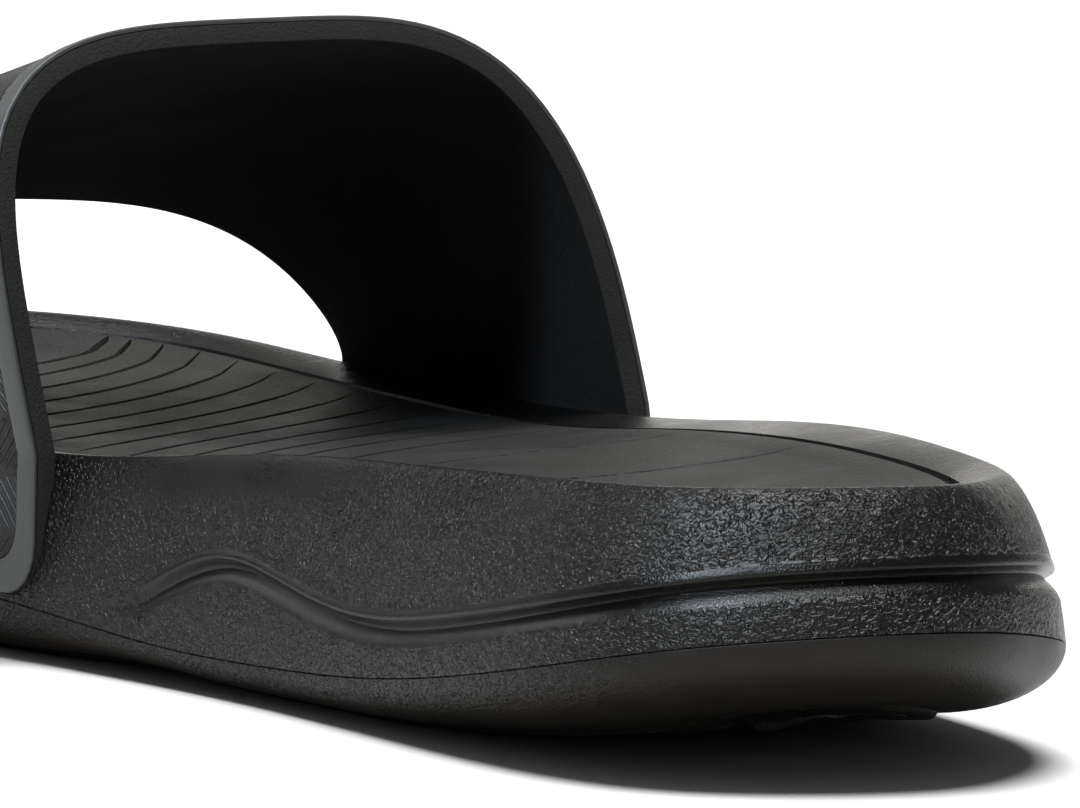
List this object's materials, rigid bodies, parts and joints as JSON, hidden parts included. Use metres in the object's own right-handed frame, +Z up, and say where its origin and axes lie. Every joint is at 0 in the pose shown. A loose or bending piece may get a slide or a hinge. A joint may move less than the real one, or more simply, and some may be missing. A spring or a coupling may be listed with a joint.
{
  "type": "sport slide sandal",
  "caption": "Slip-on sport slide for a right foot: thick moulded foam sole with an anatomical footbed and one wide arched strap.",
  "frame": {"origin": "middle of the shoe's footprint box, on the floor that its tread stands on", "axes": "+Y towards the toe, +X towards the outer (lateral) side of the right foot, +Z up"},
  "size_m": [0.11, 0.2876, 0.0782],
  "materials": {
    "outsole_rubber": "moulded near-black rubber, smooth satin with a fine grain",
    "midsole_foam": "moulded near-black foam with a coarse bark-like grain and satin skin",
    "footbed_foam": "warm charcoal foam with a fine matte grain and engraved grooves",
    "strap_foam": "black foam wall with a matte textile lining",
    "frame_skin": "satin dark grey synthetic skin, welded on",
    "panel_skin": "embossed near-black synthetic with fine diagonal ridges"
  },
  "bodies": {
    "root": {"outsole": "outsole_rubber", "midsole": "midsole_foam", "footbed": "footbed_foam", "strap": "strap_foam", "strap_frame": "frame_skin", "strap_panel": "panel_skin"}
  },
  "joints": []
}
